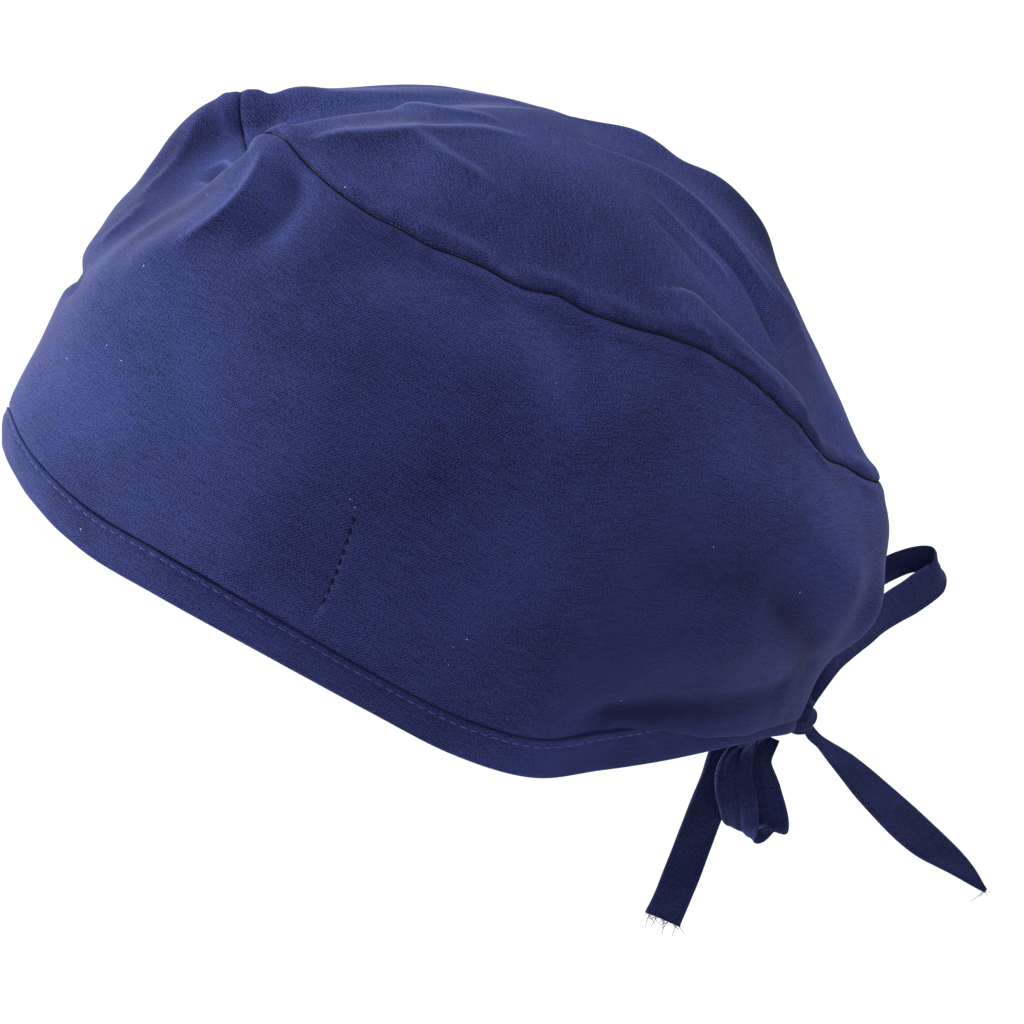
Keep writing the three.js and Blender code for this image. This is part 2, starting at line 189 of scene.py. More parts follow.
def outward(s, w, low, high):
    """The outward direction, shared by both panels where they meet at the crown seam."""
    n = facing(s, w, low, high)
    shared = unit(facing(s, np.full_like(w, 4.0), 0, 4) + facing(s, np.full_like(w, 4.0), 4, 7))
    near = np.clip(1 - np.abs(w - 4) / 0.06, 0, 1)[..., None]
    n = unit(n * (1 - near) + shared * near)
    return np.where((w > 6.97)[..., None], (0.0, 0.0, 1.0), n)


# Folds. Columns: name, sides (1 left, -1 right), form, height in mm, reach in mm, then a station and a
# level for each point of the route. A ridge fades by the square of the distance and a crest straight away
# from a narrow top; below zero they are a hollow and a crease. A lap is a layer that lies over on the left
# of the route. A crest also gets a painted highlight along its top, a crease painted shade along its line,
# and a lap a painted highlight on its edge with a painted shadow on the cloth below. A shade is painted
# shade, which only darkens the cloth. Some shades are on the left alone, to match the dark places of the
# photograph, so the two sides differ in tone.
FOLDS = [
    ("crown_ridge", (1,), "crest", 1.8, 2.4,
     ((2.35, 4.12), (2.58, 4.28), (2.85, 4.6), (3.53, 4.97), (4.17, 5.23), (4.93, 5.45), (5.78, 5.65),
      (6.6, 5.8))),
    ("crown_ridge_foot", (1,), "ridge", 1.2, 6, ((2.65, 4.4), (3, 4.75), (3.8, 5.1))),
    ("second_ridge", (1,), "crest", 1.6, 2, ((0.2, 5.4), (1.35, 5.56), (2.4, 5.66), (3.33, 5.74),
     (4.33, 5.86), (5.5, 5.94))),
    ("branch", (1,), "crest", 0.9, 2.4, ((3.45, 5.03), (4.08, 5.07), (5.05, 4.93), (5.62, 4.87),
     (6.08, 4.78))),
    ("under_branch", (1, -1), "ridge", -1.4, 8, ((3.2, 4.5), (4.2, 4.6), (5.2, 4.6))),
    ("right_crown_ridge", (-1,), "crest", 0.9, 2, ((2.1, 4.2), (2.4, 4.6), (2.8, 5), (3.3, 5.4), (4, 5.8),
     (5, 6.2))),
    ("near_peak", (1,), "ridge", -1.2, 4, ((2.05, 3.95), (2.15, 4.15))),
    ("right_front_swell", (-1,), "ridge", 5.4, 6.5, ((1.98, 3.97), (1.96, 3.8), (1.93, 3.62), (1.88, 3.45))),
    ("right_brow_swell", (-1,), "ridge", 1.8, 4.5, ((1.87, 3.44), (1.78, 3.32), (1.64, 3.22))),
    ("far_crown", (-1,), "ridge", -1.5, 4, ((2.15, 4.15), (2.4, 4.22))),
    ("far_crown_back", (-1,), "ridge", 1.5, 4.5, ((2.12, 4.3), (2.18, 4.5), (2.3, 4.75))),
    ("back_crown_swell", (1,), "ridge", 1.8, 7, ((12.1, 6.4), (12.03, 6.3), (12, 6))),
    ("brow_notch", (1,), "ridge", -3, 3.4, ((-1.8, 2.7), (-1.2, 2.62), (-0.6, 2.7), (0, 2.75))),
    ("back_lap", (1,), "lap", 2.6, 6,
     ((11.6, 4.5), (11.28, 4.78), (11.08, 4.88), (10.83, 5.08), (10.73, 5.32), (10.55, 5.57), (10.18, 5.85),
      (8.88, 5.97), (7.2, 6.05))),
    ("back_far_swell", (-1,), "ridge", 5, 7, ((11.85, 5.75), (11.95, 5.6), (12, 5.42), (12, 5.28),
     (12, 5.2))),
    ("back_far_shade", (1,), "shade", -0.8, 5, ((12, 5.6), (11.9, 5.4), (11.8, 5.2), (11.7, 5))),
    ("back_flat", (1,), "ridge", -1.5, 8, ((11.95, 4.1), (11.85, 4.4), (11.7, 4.8))),
    ("back_ridge_line", (1,), "crest", 0.8, 1.4,
     ((10, 5.98), (10.35, 5.72), (10.55, 5.4), (10.62, 5.15), (10.75, 4.9), (11, 4.7))),
    ("back_streak", (1, -1), "crest", -0.9, 1.4, ((10, 5.25), (10.3, 5.02), (10.5, 4.85), (10.6, 4.65),
     (10.7, 4.4))),
    ("back_streak_2", (1, -1), "crest", 0.7, 1.5, ((9.3, 5.5), (9.8, 5.15), (10.15, 4.9), (10.3, 4.7))),
    ("back_streak_3", (1, -1), "crest", -0.7, 1.6, ((8.88, 5.2), (9.48, 4.95), (9.95, 4.67))),
    ("seam_roll_back", (1, -1), "ridge", 1.7, 4,
     ((8.6, 4.16), (9.2, 4.22), (9.7, 4.18), (10.2, 4.13), (10.6, 4.1))),
    ("pleat_lap", (1, -1), "lap", 2.6, 7,
     ((10.75, 4.03), (10.8, 4.12), (10.7, 4.22), (10.4, 4.26), (10, 4.27), (9.43, 4.4), (9.12, 4.47),
      (8.58, 4.4),
      (8.2, 4.34))),
    ("front_crest", (1, -1), "crest", 1.6, 2,
     ((2.26, 3.92), (2.23, 3.83), (2.36, 3.69), (2.42, 3.57), (2.43, 3.43), (2.35, 3.26), (2.18, 3.1),
      (1.92, 3))),
    ("front_ridge", (1, -1), "ridge", 1.7, 6, ((2.38, 3.6), (2.33, 3.3), (2, 3.04), (1.5, 2.9))),
    ("front_hollow", (1, -1), "ridge", -2.8, 5.5, ((2.85, 3.88), (2.95, 3.68), (2.98, 3.5), (2.9, 3.25))),
    ("front_under", (1,), "ridge", -1.8, 7, ((2, 3.45), (1.7, 3.3), (1.2, 3.15))),
    ("pocket_fold", (1,), "crest", 1.2, 2, ((2.1, 3.97), (1.28, 3.93), (0.2, 3.91), (-0.47, 3.87),
     (-0.62, 3.76), (-0.9, 3.67))),
    ("pocket", (1,), "ridge", -1.8, 4.4, ((1.5, 3.83), (0.8, 3.84), (0.1, 3.82), (-0.3, 3.79))),
    ("pocket_shade", (1,), "shade", -0.8, 3, ((1.4, 3.84), (0.8, 3.85), (0.1, 3.83), (-0.3, 3.8))),
    ("pocket_lip", (1,), "crest", 1.2, 2, ((1.6, 3.8), (0.8, 3.78), (0.1, 3.75), (-0.3, 3.7), (-0.45, 3.6))),
    ("right_front_crest", (-1,), "crest", 1.3, 2.2, ((1.95, 3.85), (1.75, 3.74), (1.5, 3.6), (1.2, 3.47),
     (1, 3.36), (0.75, 3.3))),
    ("right_front_crest_2", (-1,), "crest", 1, 2, ((0.8, 3.35), (0.5, 3.28), (0.42, 3.12), (0.35, 3))),
    ("front_top_shade", (1, -1), "shade", -0.5, 11, ((1.9, 3.72), (1.5, 3.5), (1, 3.35), (0.4, 3.3))),
    ("seam_hollow", (1, -1), "ridge", -2.2, 11, ((4.7, 3.8), (5.2, 3.68))),
    ("seam_swell", (1, -1), "ridge", 1.2, 8, ((5.6, 3.85), (6.4, 3.85))),
    ("ear_hollow", (1, -1), "ridge", -3, 7, ((7.2, 3.85), (7.15, 3.4), (7.05, 3))),
    ("ear_ridge", (1, -1), "ridge", 2, 7, ((6.45, 3.6), (6.4, 3.1), (6.3, 2.7))),
    ("temple_swell", (1, -1), "ridge", 0.8, 8, ((3.42, 3.8), (3.8, 3.75), (4.1, 3.66))),
    ("rear_valley", (1, -1), "ridge", -2.4, 7,
     ((8.03, 2.3), (8.68, 2.37), (9.12, 2.37), (9.68, 2.36), (10.1, 2.23), (10.43, 1.97), (10.8, 1.7))),
    ("rear_valley_deep", (1, -1), "ridge", -1.2, 4.5, ((9.9, 2.3), (10.3, 2.1), (10.6, 1.85), (10.95, 1.6),
     (11.2, 1.42))),
    ("rear_valley_soft", (1,), "shade", -0.3, 7, ((8.6, 2.37), (9.2, 2.38), (9.8, 2.33), (10.3, 2.1))),
    ("rear_valley_shade", (1,), "shade", -0.5, 6, ((10.1, 2.2), (10.25, 2.1), (10.55, 1.85), (10.85, 1.6),
     (11.2, 1.35))),
    ("rear_bulge", (1, -1), "ridge", 1.6, 9, ((8, 1.8), (9, 1.85), (9.6, 1.82))),
    ("low_shade", (1,), "shade", -0.45, 26, ((6.8, 1.7), (8, 1.7), (9, 1.7), (9.8, 1.7))),
    ("nape_bulge", (1, -1), "ridge", 1.6, 9, ((9, 2.95), (9.9, 2.9), (10.6, 2.65), (11, 2.4))),
    ("nape_lobe", (1,), "ridge", 4, 8, ((11.5, 2.35), (11.6, 2), (11.7, 1.7))),
    ("hem_crease", (1, -1), "ridge", -2.4, 4,
     ((7.6, 1.15), (8, 1.23), (8.78, 1.28), (9.68, 1.29), (10.5, 1.3), (10.9, 1.3))),
    ("hem_shade", (1,), "shade", -0.55, 2.4, ((7.9, 1.16), (8.4, 1.2), (9.28, 1.24), (10.1, 1.26),
     (10.9, 1.28))),
    ("dart", (1, -1), "lap", 0.7, 6, ((4.7, 2.15), (4.6, 1.8), (4.48, 1.4), (4.35, 1.04))),
]
LAP_EDGE = 0.7 * MM


def to_route(p, n, points):
    """Distance from p to a route of points, the side it lies on (1 left of the way, -1 right), and how far
    along."""
    best = np.full(len(p), np.inf)
    side, along = np.zeros(len(p)), np.zeros(len(p))
    lengths = np.linalg.norm(np.diff(points, axis=0), axis=1)
    before = np.concatenate([[0], np.cumsum(lengths)])
    for k, (a, b) in enumerate(zip(points[:-1], points[1:])):
        ab = b - a
        t = np.clip((p - a) @ ab / (ab @ ab), 0, 1)
        off = p - a - t[:, None] * ab
        d = np.linalg.norm(off, axis=1)
        near = d < best
        best = np.where(near, d, best)
        side = np.where(near, np.sign((np.cross(ab, off) * n).sum(1)), side)
        along = np.where(near, before[k] + t * lengths[k], along)
    return best, side, along / before[-1]


def route_points(side, route, per_piece=5):
    """The route's points on the skin, with more between them on one smooth line."""
    s, w = np.array(route, float).T
    if len(s) > 2:
        knots = np.column_stack([s, w])
        ends = np.vstack([2 * knots[0] - knots[1], knots, 2 * knots[-1] - knots[-2]])
        t = np.linspace(0, len(s) - 1, (len(s) - 1) * per_piece + 1)
        i = np.minimum(t.astype(int), len(s) - 2)
        s, w = smooth(ends[i], ends[i + 1], ends[i + 2], ends[i + 3], t - i).T
    return skin(side * s, w)


def spread(p, points, reach):
    """A smooth ridge's share of its height at points p: bell curves set closely along the route, all added
    and brought to 1 on the route. Unlike the nearest distance it has no crease inside a bend."""
    far = arc(points)
    count = max(3, int(far[-1] / reach * 2.5) + 2)
    spots = np.stack([np.interp(np.linspace(0, far[-1], count), far, points[:, k]) for k in range(3)], -1)
    bells = [np.exp(-((at[:, None] - spots) ** 2).sum(-1) / reach**2).sum(1) for at in (p, spots)]
    return bells[0] / bells[1].max()


def fade(along, share=0.25):
    """From 0 at a route's ends to 1 beyond the given share of it."""
    t = np.clip(np.minimum(along, 1 - along) / share, 0, 1)
    return t * t * (3 - 2 * t)


def lift(p, n):
    """How far the folds lift the cloth at points p with outward directions n: the sum of the table's
    folds, each worked out only for the points that lie within a few reaches of its route. Also the painted
    light: above zero a painted highlight along the crests and lap edges, below zero painted shade in the
    creases, below the laps and along the shade routes."""
    total, trace = np.zeros(len(p)), np.zeros(len(p))
    for _, sides, form, high, wide, route in FOLDS:
        for side in sides:
            points, reach = route_points(side, route), wide * MM
            margin = (2.8 if form in ("ridge", "shade") else 5) * reach
            near = np.all((p > points.min(0) - margin) & (p < points.max(0) + margin), axis=1)
            if not near.any():
                continue
            if form in ("ridge", "shade"):
                kept, unit_high = (total, MM) if form == "ridge" else (trace, 1)
                kept[near] += high * unit_high * spread(p[near], points, reach)
                continue
            d, hand, along = to_route(p[near], n[near], points)
            soft = 0.25 * reach
            fall = np.exp(-(np.hypot(d, soft) - soft) / reach) * fade(along)
            # Along a crest the line is a painted highlight; along a crease, below zero, it is painted shade.
            line = (0.8 * np.exp(-((d / (0.36 * reach)) ** 2)) * fade(along)
                    * math.copysign(min(1, abs(high) / 2), high))
            if form == "lap":
                fall = fall / (1 + np.exp(-d * hand * side / LAP_EDGE))
                # A lap's line is a painted highlight on the edge of the layer over and a painted shadow on
                # the cloth below it.
                line = np.where(hand * side > 0, 0.7 * np.exp(-d / (1.0 * MM)),
                                -1.5 * np.exp(-d / (2.0 * MM)))
                line = line * fade(along) * min(1, high / 2.2)
            total[near] += high * MM * fall
            trace[near] += line
    return total, np.clip(trace, -1.5, 0.9)


WAVES = [(rng.normal(size=3), rng.uniform(0, 2 * math.pi)) for _ in range(26)]


def ripple(p, size, first=0, count=8):
    """Soft unevenness between -1 and 1: the mean of sine waves in set directions, size metres long."""
    total = np.zeros(len(p))
    for direction, phase in WAVES[first:first + count]:
        total += np.sin(p @ (direction / size * 2.2) + phase)
    return total / count * 1.6


def mesh_object(name, points, faces, uv=None, trace=None):
    """A mesh object at the origin from whole arrays, smooth shaded, with a UV map in metres of cloth and the
    folds' light and shade as the attribute "trace"."""
    mesh = bpy.data.meshes.new(name)
    mesh.from_pydata(points.tolist(), [], faces)
    mesh.polygons.foreach_set("use_smooth", np.ones(len(mesh.polygons), bool))
    if uv is not None:
        loops = np.empty(len(mesh.loops), np.int32)
        mesh.loops.foreach_get("vertex_index", loops)
        mesh.uv_layers.new(name="cloth").data.foreach_set("uv", np.asarray(uv)[loops].ravel())
    if trace is not None:
        mesh.attributes.new("trace", "FLOAT", "POINT").data.foreach_set("value", trace)
    mesh.update()
    obj = bpy.data.objects.new(name, mesh)
    bpy.context.scene.collection.objects.link(obj)
    return obj


def grid_faces(n, m, closed_n=False, closed_m=False, first=0):
    """Quads of an n by m grid of points numbered row by row."""
    i, j = np.meshgrid(np.arange(n if closed_n else n - 1), np.arange(m if closed_m else m - 1),
                       indexing="ij")
    a, b = i * m + j, i * m + (j + 1) % m
    c, d = (i + 1) % n * m + (j + 1) % m, (i + 1) % n * m + j
    return first + np.stack([a, d, c, b], -1).reshape(-1, 4)


def shell(name, outer, inner, uv, inner_uv, trace, pole=False):
    """A wall from two grids of points that have the same columns and each their own rows. The layers are
    joined along their lower edges, and along their upper ones too unless a pole closes each layer there,
    midway between the points round it."""
    n, m = outer.shape[:2]
    rows = inner.shape[1]
    points = np.concatenate([outer.reshape(-1, 3), inner.reshape(-1, 3)])
    flat = np.concatenate([uv.reshape(-1, 2), inner_uv.reshape(-1, 2)])
    layer, low, low_in = n * m, np.arange(n) * m, n * m + np.arange(n) * rows
    nxt, nxt_in = np.roll(low, -1), np.roll(low_in, -1)
    top, top_nxt, top_in, top_nxt_in = low + m - 1, nxt + m - 1, low_in + rows - 1, nxt_in + rows - 1
    faces = np.vstack([
        grid_faces(n, m, closed_n=True),
        grid_faces(n, rows, closed_n=True, first=layer)[:, ::-1],
        np.stack([nxt, nxt_in, low_in, low], -1),
    ]).tolist()
    if pole:
        points = np.vstack([points, points[top].mean(0), points[top_in].mean(0)])
        flat = np.vstack([flat, flat[top].mean(0), flat[top_in].mean(0)])
        tip = np.full(n, len(points) - 2)
        faces += np.stack([top, top_nxt, tip], -1).tolist()
        faces += np.stack([top_nxt_in, top_in, tip + 1], -1).tolist()
    else:
        faces += np.stack([top, top_in, top_nxt_in, top_nxt], -1).tolist()
    trace = np.concatenate([trace.ravel(), np.zeros(len(points) - trace.size)])
    return mesh_object(name, points, faces, flat, trace)


def flat_uv(p):
    """Lengths along and up a grid of points, in metres, as the cloth would lie flat."""
    up = np.concatenate([np.zeros((len(p), 1)),
                         np.cumsum(np.linalg.norm(np.diff(p, axis=1), axis=2), axis=1)], 1)
    mid = p[:, p.shape[1] // 2]
    along = np.concatenate([[0], np.cumsum(np.linalg.norm(np.diff(mid, axis=0), axis=1))])
    return np.stack([np.broadcast_to(along[:, None], up.shape), up], -1)


def round_uv(p):
    """A round panel laid flat: each column runs straight out from the middle, as long as it is on the
    cloth."""
    up = flat_uv(p)[..., 1]
    way = unit((p[:, 0] - MIDDLE) * (1, 1, 0))[:, None, :2]
    return way * (up[:, -1:] - up)[..., None]


def columns(count, spots):
    """Stations for count columns round the cap, closer together near the given stations."""
    s = np.linspace(0, STATIONS, 4001)
    density = np.ones_like(s)
    for at, more, wide in spots:
        for place in (at, STATIONS - at):
            density += more * np.exp(-(((s - place) / wide) ** 2))
    total = np.concatenate([[0], np.cumsum((density[1:] + density[:-1]) / 2)])
    return np.interp(np.arange(count) / count * total[-1], total, s)


def arc(line):
    """Length along a line of points, from its first."""
    return np.concatenate([[0], np.cumsum(np.linalg.norm(np.diff(line, axis=0), axis=1))])


def seam_relief(s, d, along, over, puffed):
    """A seam's ditch and the puffed cloth beside it, with small puckers across it every few millimetres,
    at distance d in millimetres from the seam. over is how far this panel's edge stands above the
    other's."""
    uneven = (1 + 0.5 * np.sin(along / 4.1 + 1.7 * np.sin(along / 23))
              + 0.3 * np.sin(along / 2.1 + np.sin(along / 11)))
    pucker = np.sin(along / 1.15 + 2 * np.sin(along / 9.0)) * (0.6 + 0.4 * np.sin(along / 13.0))
    ditch = -0.7 * np.exp(-((d / 0.7) ** 2))
    puff = puffed * uneven * np.exp(-(((d - 3.4) / 2.2) ** 2))
    return MM * (ditch + puff + 0.1 * pucker * np.exp(-d / 4) + over * np.exp(-((d / 2.2) ** 2)))


def cloth_grid(s, w, low, high, over, puffed):
    """Points of a panel: the skin lifted by its folds, its ripples and its seams, and the outward
    directions. The crown seam wanders a little, and takes the cloth beside it along."""
    S, W = np.meshgrid(s, w, indexing="ij")
    p, n = skin(S, W), outward(S, W, low, high)
    flat_p, flat_n = p.reshape(-1, 3), n.reshape(-1, 3)
    up, trace = lift(flat_p, flat_n)
    up += 0.3 * MM * ripple(flat_p, 0.03) + 0.12 * MM * ripple(flat_p, 0.011, 8, 9)
    up, trace = up.reshape(S.shape), trace.reshape(S.shape)
    seam = skin(s, np.full_like(s, 4.0))
    d = np.linalg.norm(p - seam[:, None], axis=-1) / MM
    along = arc(seam)[:, None] / MM
    up += seam_relief(s, d, along, over, puffed)
    # Painted shade along the crown seam's ditch.
    trace -= 0.8 * np.exp(-((d / 0.45) ** 2))
    wander = MM * (0.7 * np.sin(along / 6.1 + 2 * np.sin(along / 17)) + 0.1 * np.sin(along / 2.3 + 1))
    top = outward(s, np.full_like(s, 4.0), 0, 4)
    tangent = np.cross(top, unit(np.gradient(seam, axis=0)))
    aside = tangent[:, None] * (wander * np.exp(-((d / 5) ** 2)))[..., None]
    if low == 0:
        foot = skin(s, np.ones_like(s))
        d = np.linalg.norm(p - foot[:, None], axis=-1) / MM
        up += 0.35 * seam_relief(s, d, arc(foot)[:, None] / MM, 0.2, puffed)
        # Painted shade along the band seam's ditch.
        trace -= 0.6 * np.exp(-((d / 0.5) ** 2))
        free = np.clip((W - TUCK_LEVEL) / 0.11, 0, 1)
        free = free * free * (3 - 2 * free)
        up = up * free - 0.5 * MM * (1 - free)
        cover, share = blouse(S, BLOUSE_COVER), blouse(S, BLOUSE_SHARE)
        down = unit(skin(s, np.zeros_like(s)) - foot)
        aside += down[:, None] * (MM * cover * np.interp(W, BLOUSE_LEVELS, BLOUSE_DOWN))[..., None]
        up += MM * share * np.interp(W, BLOUSE_LEVELS, BLOUSE_OUT)
    return p + aside + n * up[..., None], n, trace


TUCK_LEVEL = 0.93

# Towards the nape the cloth blouses over the hem. At a level, how far down it goes, as a share of what it
# covers there, and how far out, in mm. Then at a station, what it covers of the hem, in mm, and its share
# of the way out.
BLOUSE_LEVELS = (0.93, 0.97, 1, 1.03, 1.06, 1.1, 1.2, 1.35, 1.5)
BLOUSE_DOWN = (0, 0, 0.45, 0.85, 1, 0.93, 0.6, 0.2, 0)
BLOUSE_OUT = (0, 0.9, 1.6, 1.9, 2.4, 2.9, 2.6, 1.2, 0)
BLOUSE_STATIONS = (8.2, 8.9, 9.6, 10.4, 11.2, 12)
BLOUSE_COVER = (0, 2, 5.5, 7.5, 8, 8)
BLOUSE_SHARE = (0, 0.6, 1, 1, 0.4, 0)


def blouse(s, column):
    return np.interp(np.minimum(s % STATIONS, -s % STATIONS), BLOUSE_STATIONS, column)


def side_panel():
    """The side panel, from its edge tucked into the hem to the crown seam."""
    s = columns(760, ((4.55, 2.2, 0.2), (2.0, 1.2, 0.8), (10.8, 0.8, 1.5)))

    def levels(count):
        t = np.linspace(0, 1, count)
        return TUCK_LEVEL + (3.997 - TUCK_LEVEL) * (t - 0.1 * np.sin(2 * math.pi * t))
    outer, _, trace = cloth_grid(s, levels(100), 0, 4, 0, 0.45)
    inner, n, _ = cloth_grid(s, levels(30), 0, 4, 0, 0.45)
    inner = inner - n * CLOTH_WALL
    return shell("side_cloth", outer, inner, flat_uv(outer), flat_uv(inner), trace)


def top_panel():
    s = columns(660, ((2.0, 1.0, 0.8), (10.2, 1.4, 1.3)))

    def levels(count):
        return 4.003 + (6.985 - 4.003) * np.linspace(0, 1, count) ** 1.2
    outer, _, trace = cloth_grid(s, levels(118), 4, 7, 0.5, 0.9)
    inner, n, _ = cloth_grid(s, levels(32), 4, 7, 0.5, 0.9)
    inner = inner - n * CLOTH_WALL
    return shell("crown_cloth", outer, inner, round_uv(outer), round_uv(inner), trace, pole=True)


STITCH, STITCH_GAP = 2.6 * MM, 0.5 * MM
STITCH_LEVEL = 1 - 0.9 * MM / BAND_WIDTH


def hem_surface(s, w):
    """The hem's outer face: the skin a little proud, uneven, with a shallow channel drawn in by the
    topstitch."""
    p, n = skin(s, w), facing(s, w, 0, 4)
    flat_p = p.reshape(-1, 3)
    along = around(LINES[0], s)
    tug = np.sin(along[..., 1] / (0.58 * MM)) * 0.5 + 0.5
    channel = np.exp(-(((w - STITCH_LEVEL) / 0.05) ** 2))
    uneven = (0.2 * ripple(flat_p, 0.014, 8, 9).reshape(s.shape)
              + 0.14 * ripple(flat_p, 0.006, 3, 7).reshape(s.shape))
    puff = 0.35 * np.sin(np.clip(w, 0, 1) * math.pi) ** 0.6
    return p + n * (BAND_PROUD + MM * (uneven + puff - (0.32 + 0.12 * tug) * channel))[..., None], n


def hem_stations(count):
    """Stations from one end of the hem at the nape, round the front, to the other."""
    back = around(LINES[0], np.array([STATIONS / 2.0]))[0]
    reach = np.linspace(0, 1, 400)
    gap = np.linalg.norm(around(LINES[0], STATIONS / 2 - reach) - back, axis=1)
    half_open = np.interp(NAPE_OPENING / 2, gap, reach)
    return np.linspace(half_open - STATIONS / 2, STATIONS / 2 - half_open, count)


def hem_band():
    """The turned hem: a rounded section carried along the rim from one end at the nape to the other."""
    s = hem_stations(1100)
    outer_levels, inner_levels = np.linspace(1, 0, 22), np.linspace(0, 1, 8)
    S, W = np.meshgrid(s, outer_levels, indexing="ij")
    outer, _ = hem_surface(S, W)
    S, W = np.meshgrid(s, inner_levels, indexing="ij")
    inner = skin(S, W) + facing(S, W, 0, 4) * (BAND_PROUD - BAND_WALL)
    foot = skin(s, np.zeros_like(s))
    below = foot + unit(foot - skin(s, np.full_like(s, 0.3))) * BAND_WALL * 0.35
    below += facing(s, np.zeros_like(s), 0, 4) * (BAND_PROUD - BAND_WALL / 2)
    q = np.concatenate([outer, below[:, None], inner], axis=1)
    m = q.shape[1]
    ends = [list(range(m)), list(range((len(s) - 1) * m, len(s) * m))[::-1]]
    faces = grid_faces(len(s), m, closed_m=True)[:, ::-1].tolist()
    # The whole hem is made evenly a little darker: its "trace" of -0.15 mixes in some of the shade colour.
    return mesh_object("hem", q.reshape(-1, 3), [*faces, *ends], flat_uv(q).reshape(-1, 2),
                       np.full(q[..., 0].size, -0.15))


def threads(name, centres, normals, radius, sides=6):
    """Many short threads at once: centres and normals are (thread, place, 3) arrays and radius one value
    for each place. Each thread is a tube of rings round its centres, closed at both ends."""
    count, places, _ = centres.shape
    way = unit(np.gradient(centres, axis=1))
    b = unit(np.cross(normals, way))
    up = np.cross(way, b)
    a = np.arange(sides) / sides * 2 * math.pi
    ring_at = b[:, :, None] * np.cos(a)[:, None] + up[:, :, None] * np.sin(a)[:, None]
    points = centres[:, :, None] + ring_at * np.asarray(radius)[None, :, None, None]
    quads = grid_faces(places, sides, closed_m=True)
    first = np.arange(count)[:, None, None] * places * sides
    cap = np.arange(sides)
    faces = (quads[None] + first).reshape(-1, 4).tolist()
    faces += (cap[None, :] + first[:, 0]).tolist()
    faces += ((places - 1) * sides + cap[None, ::-1] + first[:, 0]).tolist()
    obj = mesh_object(name, points.reshape(-1, 3), faces)
    if signed_volume(obj) < 0:
        obj.data.flip_normals()
    return obj


def signed_volume(obj):
    """Six times the volume inside a closed mesh, below zero if its faces point inwards."""
    mesh = obj.data
    mesh.calc_loop_triangles()
    v = np.empty(len(mesh.vertices) * 3)
    mesh.vertices.foreach_get("co", v)
    k = np.empty(len(mesh.loop_triangles) * 3, np.int32)
    mesh.loop_triangles.foreach_get("vertices", k)
    a, b, c = v.reshape(-1, 3)[k.reshape(-1, 3)].transpose(1, 0, 2)
    return float((a * np.cross(b, c)).sum())


PLACES = np.linspace(0, 1, 7)


def dashes(line, up, length, gap, first=0.0):
    """Stitches along a line of surface points: for each, the centres of its places and the outward
    directions. A stitch rises from the cloth and dips back into it."""
    far = arc(line)
    starts = np.arange(first, far[-1] - length, length + gap)
    at = starts[:, None] + PLACES * length
    pick = [np.stack([np.interp(at, far, v[:, k]) for k in range(3)], -1) for v in (line, up)]
    return pick[0], unit(pick[1])


def stitch_row(name, line, up, length, gap, thick, proud=0.5):
    centres, normals = dashes(line, up, length, gap)
    bow = np.sin(PLACES * math.pi) ** 0.7
    centres = centres + normals * (thick * (proud * bow - 0.75 * (1 - bow)))[None, :, None]
    return threads(name, centres, normals, thick * (0.35 + 0.65 * bow))


def hem_stitches():
    s = hem_stations(2600)[40:-40]
    line, up = hem_surface(s, np.full_like(s, STITCH_LEVEL))
    return stitch_row("hem_stitches", line, up, STITCH, STITCH_GAP, 0.2 * MM)


def dart_stitches(side):
    """The stitch holes along the upper half of the dart, drawn as dark stitches: painted shade in the holes.
    """
    route = next(f for f in FOLDS if f[0] == "dart")[5]
    t = np.linspace(0, 1, 200)
    s = side * np.interp(t, np.linspace(0, 1, len(route)), [r[0] for r in route])
    w = np.interp(t, np.linspace(0, 1, len(route)), [r[1] for r in route])
    keep = t < 0.62
    p, n = skin(s[keep], w[keep]), outward(s[keep], w[keep], 0, 4)
    p = p + n * (lift(p, n)[0] + 0.3 * MM * ripple(p, 0.03) + 0.1 * MM * ripple(p, 0.011, 8, 9))[:, None]
    name = "dart_stitches_left" if side > 0 else "dart_stitches_right"
    return stitch_row(name, p, n, 1.6 * MM, 1.1 * MM, 0.42 * MM, 0.5)


# Ties. Each row is a place on the strap: x, y, z in hundredths of its length from the middle of the knot,
# then the direction across the strap, and its width in hundredths of TIE_WIDTH. The first place leaves the
# knot.
TAIL_LEFT = (
    (-1.4, -8.4, 0.6, 0.1, 0.2, 1, 40), (1.4, -18.6, -1.4, 0.1, 0.75, 0.65, 70),
    (5, -29, -8.6, 0, 0.98, -0.2, 95),
    (9.3, -35.7, -23, 0.11, 0.9, -0.42, 98), (14.3, -45.7, -44.3, 0.1, 0.98, -0.19, 100),
    (20, -54.3, -61.4, 0.1, 0.98, -0.14, 100), (21.4, -59.3, -71.4, 0.08, 0.96, -0.28, 104),
)
LOOP_LEFT = (
    (4.6, -5.8, 0.5, 0.2, 0.2, 1, 40), (8.6, -14.7, -3.4, 0.1, 0.8, 0.6, 50),
    (13.4, -21.6, -6.2, 0.1, 0.98, 0.1, 76),
    (16.8, -24.2, -12.2, 0.1, 0.99, -0.1, 104), (17.9, -23.2, -20.6, 0.2, 0.97, -0.14, 104),
    (14.7, -20.6, -29.4, 0.2, 0.78, -0.6, 100), (10.3, -12.4, -30.6, 0.1, 0.86, 0.5, 112),
    (8.2, -12.8, -20.4, 0.12, 0.99, -0.02, 92), (6.5, -14, -11.4, 0.17, 0.97, -0.15, 66),
    (3.4, -9.6, -5.2, 0.5, 0.6, -0.5, 44),
)
TAIL_RIGHT = (
    (-0.6, 3.6, -6.2, 0.3, -0.8, -0.4, 34), (-3.3, 7.6, -10.4, 0.2, -0.75, -0.66, 36),
    (-8.7, 16, -18.9, 0, -0.65, -0.76, 68), (-14.1, 26.6, -30.4, 0, -0.73, -0.68, 92),
    (-19.6, 42.3, -46.6, 0, -0.72, -0.7, 102), (-22.8, 56, -58.2, 0, -0.8, -0.6, 64),
    (-25.5, 65.2, -67.4, 0, -0.6, -0.8, 12),
)
